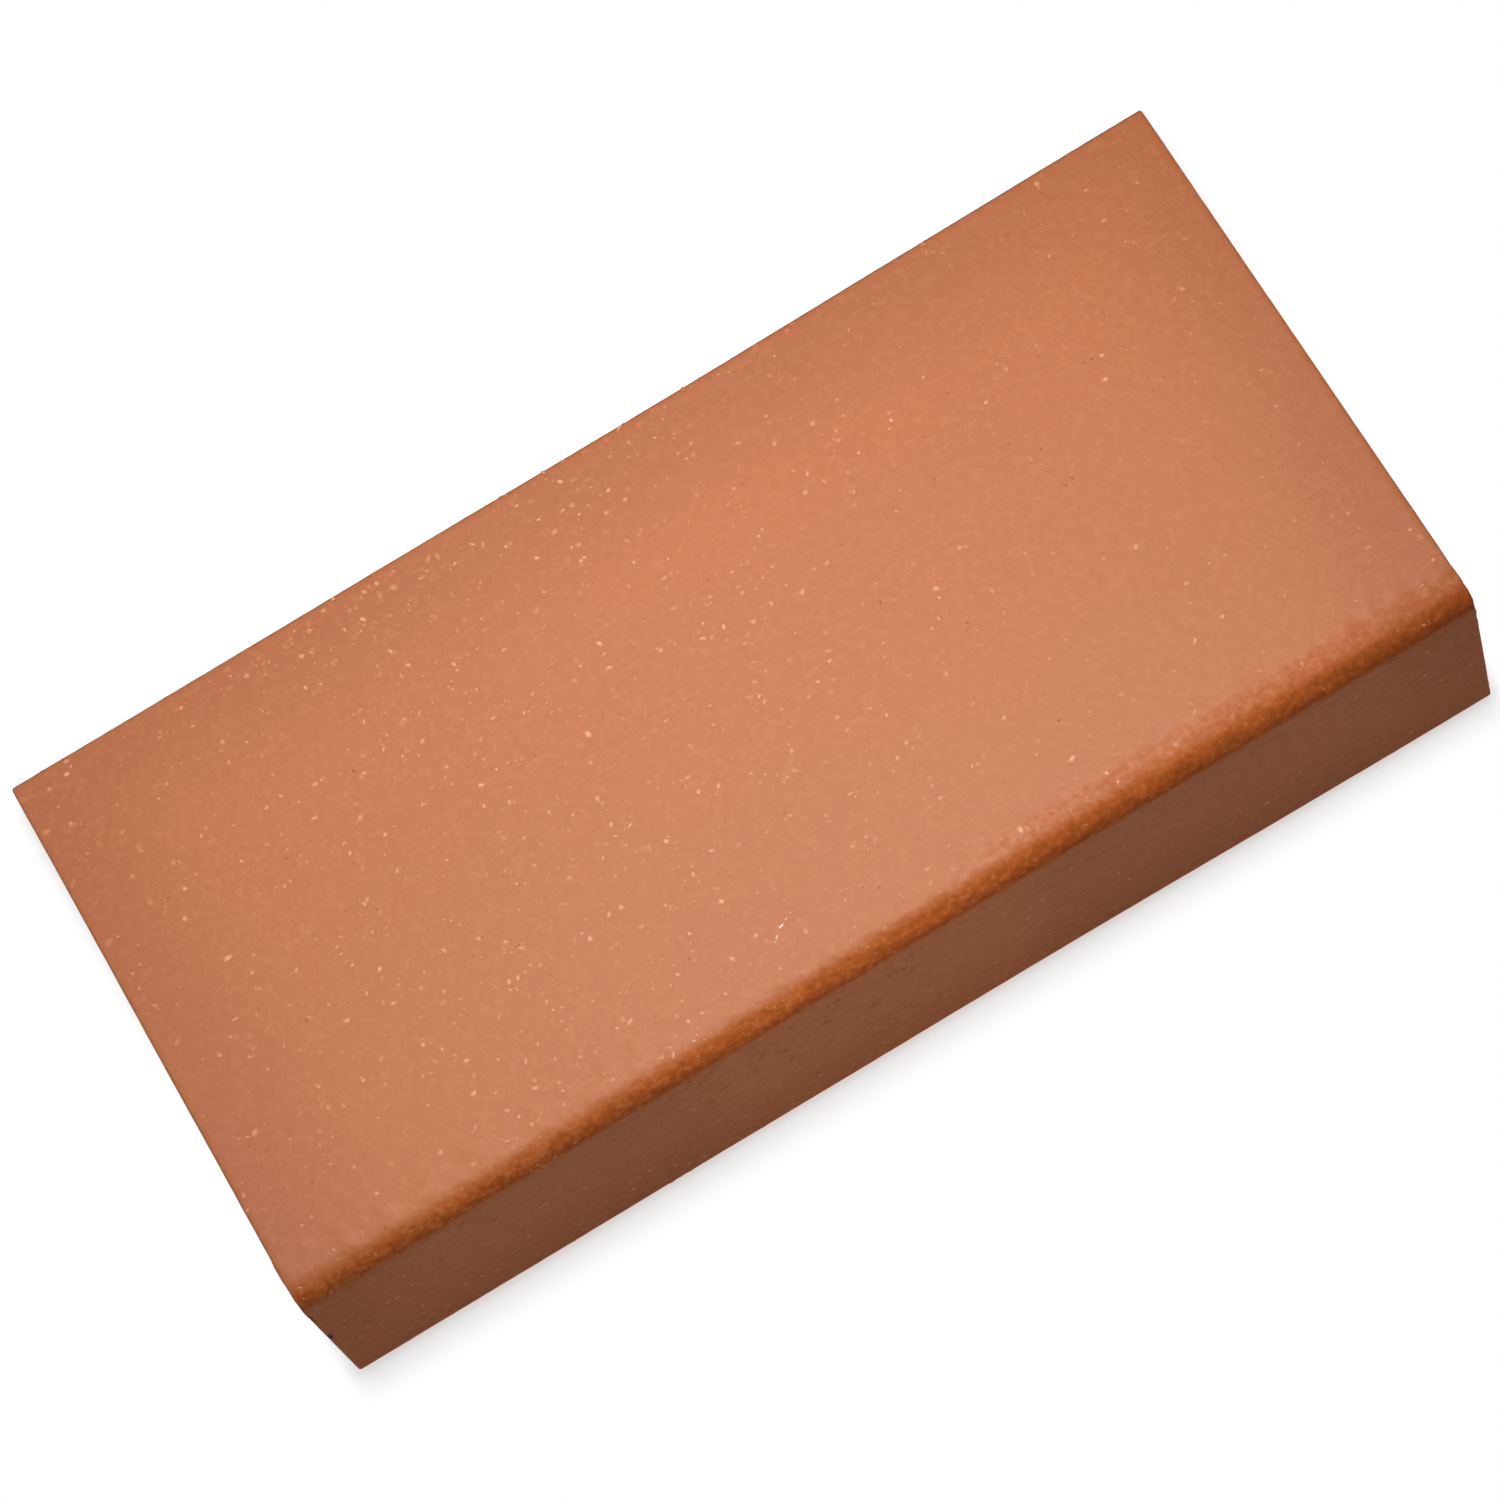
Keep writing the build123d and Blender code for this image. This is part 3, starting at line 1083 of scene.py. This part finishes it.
@dataclass(frozen=True)
class PaperFinish:
    """Rolled background paper, matt and white; the reach of the tile's shadow on it is in millimetres."""

    # Rolled paper: without any sheen, so no lamp shows in it, and plain white but for the tile's soft shadow
    name: str = "background_paper_rolled_white"
    white: str = "#E6E6E6"
    shown_share: float = 0.8
    shown_glow: float = 0.56
    shadow_reach: float = 8.0
    end_weight: Triple = (2.0, 1.0, 0.0)

    def material(self) -> bpy.types.Material:
        """Builds the finish as a node material.

        Returns:
            The material, which reads the reach of the shadow on Object coordinates.
        """
        material, add = new_material(self.name)

        # Beyond the reach of the tile's shadow the paper is plain white
        half = (CAD_BOX[1] - CAD_BOX[0]) / 2
        sidewards = add(VECTOR, (add("ShaderNodeTexCoord").outputs["Object"],), operation="ABSOLUTE")
        clear = add(VECTOR, (sidewards, (half.x, half.y, 0.0)), operation="SUBTRACT")
        beside = add(VECTOR, (clear, (0.0, 0.0, 0.0)), operation="MAXIMUM")
        weighed = add(VECTOR, (beside, self.end_weight), operation="MULTIPLY")
        away = add(VECTOR, (weighed,), operation="LENGTH")
        near = add(RANGE, (away, self.shadow_reach * MM, 0.0), interpolation_type="SMOOTHSTEP")

        rays = add("ShaderNodeLightPath").outputs
        mirrored = add(MATH, (rays["Is Glossy Ray"], rays["Is Transmission Ray"]), operation="MAXIMUM")
        seen = add(MATH, (rays["Is Camera Ray"], mirrored), operation="MAXIMUM")
        bounced = add("ShaderNodeBsdfDiffuse", {"Color": linear(self.white)})
        shaded = add("ShaderNodeBsdfDiffuse", {"Color": (self.shown_share,) * 3 + (1.0,)})
        glow = add("ShaderNodeEmission", {"Color": WHITE, "Strength": self.shown_glow})
        plain = add("ShaderNodeEmission", {"Color": WHITE, "Strength": 1.0})
        close = add("ShaderNodeAddShader", (shaded, glow))
        shown = add("ShaderNodeMixShader", (near, plain, close))
        mixed = add("ShaderNodeMixShader", (seen, bounced, shown))
        add("ShaderNodeOutputMaterial", {"Surface": mixed})
        return material


@dataclass
class Studio:
    """White paper sweep, soft lamps and the camera that looks down on the tile."""

    paper: PaperFinish = PaperFinish()
    world_strength: float = 0.12
    sweep_radius: float = 4.0
    sweep_rise: float = 0.9
    sweep_steps: int = 96
    floor_rings: int = 4
    rim_rings: int = 8
    floor_gap_mm: float = 0.1
    lamps: tuple[Softbox, ...] = (
        Softbox("near_softbox", (0.032, 0.128, 0.320), (0.005, -0.045, 0.04), size=0.28, watts=0.84),
        Softbox("back_softbox", (-0.090, 0.412, 0.454), (0.0, 0.0, 0.03), size=0.5, watts=1.12),
        Softbox("front_fill", (-0.06, -0.23, 0.23), (-0.01, -0.055, 0.03), size=0.2, watts=0.06),
    )
    camera_place_mm: Triple = (-28.45, -43.77, 1064.04)
    camera_turn_deg: Triple = (2.721, -0.078, -30.98)
    lens_mm: float = 139.67
    sensor_mm: float = 36.0

    def sweep(self) -> None:
        """Adds the paper sweep: a round floor whose rim curls up, just clear of the uneven edges on it."""
        steps, level = self.sweep_steps, -self.floor_gap_mm * MM
        rings = [(self.sweep_radius * i / self.floor_rings, level) for i in range(1, self.floor_rings + 1)]
        for i in range(1, self.rim_rings + 1):
            turn = FULL_TURN / 4 * i / self.rim_rings
            outwards = self.sweep_radius + self.sweep_rise * sin(turn)
            rings.append((outwards, level + self.sweep_rise * (1 - cos(turn))))
        turns = [FULL_TURN * k / steps for k in range(steps)]
        points = [(0.0, 0.0, level)]
        for radius, height in rings:
            points += [(radius * cos(turn), radius * sin(turn), height) for turn in turns]
        faces = [(0, 1 + k, 1 + (k + 1) % steps) for k in range(steps)]
        for ring in range(len(rings) - 1):
            near, far = 1 + ring * steps, 1 + (ring + 1) * steps
            for k in range(steps):
                after = (k + 1) % steps
                faces.append((near + k, far + k, far + after, near + after))
        mesh = bpy.data.meshes.new("studio_sweep")
        mesh.from_pydata(points, [], faces)
        mesh.materials.append(self.paper.material())
        floor = bpy.data.objects.new("studio_sweep", mesh)
        bpy.context.collection.objects.link(floor)

    def build(self) -> None:
        """Sets up the sweep, the lamps, the air around them and the camera."""
        scene = bpy.context.scene
        scene.view_settings.view_transform = "Standard"
        self.sweep()
        for lamp in self.lamps:
            lamp.build()
        world = bpy.data.worlds.new("studio_air")
        world.use_nodes = True
        air = world.node_tree.nodes["Background"].inputs
        air["Strength"].default_value = self.world_strength
        air["Color"].default_value = WHITE
        scene.world = world
        lens = bpy.data.cameras.new("camera")
        lens.lens = self.lens_mm
        lens.sensor_width = self.sensor_mm
        camera = bpy.data.objects.new("camera", lens)
        bpy.context.collection.objects.link(camera)
        camera.location = Vector(self.camera_place_mm) * MM
        camera.rotation_euler = [radians(turn) for turn in self.camera_turn_deg]
        scene.camera = camera


def report(piece: bpy.types.Object) -> None:
    """Logs a finished piece with its size.

    Args:
        piece: the finished piece.
    """
    piece.data.calc_loop_triangles()
    log.info("%s: %d triangles, %s mm", piece.name, len(piece.data.loop_triangles),
             [round(side / MM, 2) for side in piece.dimensions])


def grain_layers(tile: TileBody) -> list[ScatteredGrains]:
    """Grains of the tile: pale quartz on tread and front, with painted glints in it, and dark iron spots.

    Args:
        tile: the finished tile body.

    Returns:
        The layers of grains, in the order they are built.
    """
    # Quartz in the die skin: pale grains that the satin skin half covers; their bright cores are painted
    # glints, and they thin out towards the ends, where the light glints less
    tread_quartz_and_glints = GrainFinish("quartz_grain_in_die_skin", "#C56D35", "#FFBA8E", Sheen(0.47, 0.5))
    # Quartz in scraped clay: the same grains laid bare, so matt and paler
    front_quartz = GrainFinish("quartz_grain_in_scraped_clay", "#C46A33", "#FABC8E", Sheen(0.8, 0.2))
    # Iron: dark brown spots that bled a little into the clay in the kiln
    iron_spot = GrainFinish("iron_spot_fired_in", "#BF6730", "#5A2A14", Sheen(0.5, 0.4))
    return [
        ScatteredGrains(
            "quartz_grains", tile, tread_quartz_and_glints, per_square_cm=17.0, smallest=0.25, largest=0.75,
            near_end_share=0.35, far_end_share=0.17, rarity=3.0, seed=11, least_facing=0.96),
        # On the nosing the pale grains are partly painted glints
        ScatteredGrains(
            "nosing_quartz_grains", tile, front_quartz, per_square_cm=18.0, smallest=0.14, largest=0.45,
            near_end_share=0.9, far_end_share=0.5, rarity=1.4, seed=17, least_facing=0.3, most_facing=0.96),
        ScatteredGrains(
            "lip_quartz_grains", tile, front_quartz, per_square_cm=16.0, smallest=0.25, largest=0.8,
            near_end_share=1.2, far_end_share=0.4, rarity=1.5, seed=19, least_facing=-0.1, most_facing=0.3),
        ScatteredGrains(
            "iron_spots", tile, iron_spot, per_square_cm=1.2, smallest=0.15, largest=0.4,
            near_end_share=1.0, far_end_share=1.0, rarity=1.5, seed=23),
    ]


def marks(tile: TileBody) -> list[PlacedFlecks]:
    """Marks of the tile: a pale scuff on the tread, and painted shade on the left end edge of the lip.

    Args:
        tile: the finished tile body.

    Returns:
        The marks, in the order they are built.
    """
    # Scuff: clay rubbed to a chalky white streak; on the lip's left end edge, painted shade: a long dark
    # streak where the end arris is in shade and a dark spot in the shade of a small chip
    chalk = GrainFinish("chalky_scuff_rubbed_on", "#C9743C", "#FFEBD6", Sheen(0.6, 0.4))
    painted_end_shade = GrainFinish("dark_body_flaked_open", "#A85C32", "#34180F", Sheen(0.8, 0.2))
    scuff = (
        Fleck((-15.9, -34.1, 44.1), (1.0, -0.2, 0.1), 0.75, 0.4, 0.6),
        Fleck((-15.2, -33.5, 43.9), (1.1, 1.0, -0.4), 1.05, 0.34, 2.2),
        Fleck((-13.5, -32.2, 43.5), (1.0, 0.2, -0.1), 1.35, 0.46, 2.2),
        Fleck((-12.1, -31.6, 43.2), (1.4, 0.6, -0.2), 1.25, 0.28, 0.9),
        Fleck((-10.9, -31.0, 43.0), (1.0, 0.5, -0.2), 0.5, 0.4, 0.8),
    )
    lip_end_shade = (
        Fleck((-119.4, -53.4, 26.3), (0.0, -0.34, -0.94), 3.6, 0.9, 1.8),
        Fleck((-119.6, -48.6, 38.5), (0.0, -0.34, -0.94), 9.0, 0.45, 0.9),
    )
    return [PlacedFlecks("tread_scuff", tile, chalk, scuff), PlacedFlecks("lip_scar", tile, painted_end_shade, lip_end_shade)]


def main() -> None:
    """Builds the tile, its grains, its marks and the studio, in order."""
    logging.basicConfig(level=logging.INFO, format="%(name)s: %(message)s")
    low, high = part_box(NODE)
    tile = TileBody(TileSection(), length=high.x - low.x)
    tile.build()
    tile.dress()
    report(tile.piece)
    for detail in (*grain_layers(tile), *marks(tile)):
        detail.build()
        detail.dress()
        report(detail.piece)
    Studio().build()


if __name__ == "__main__":
    main()
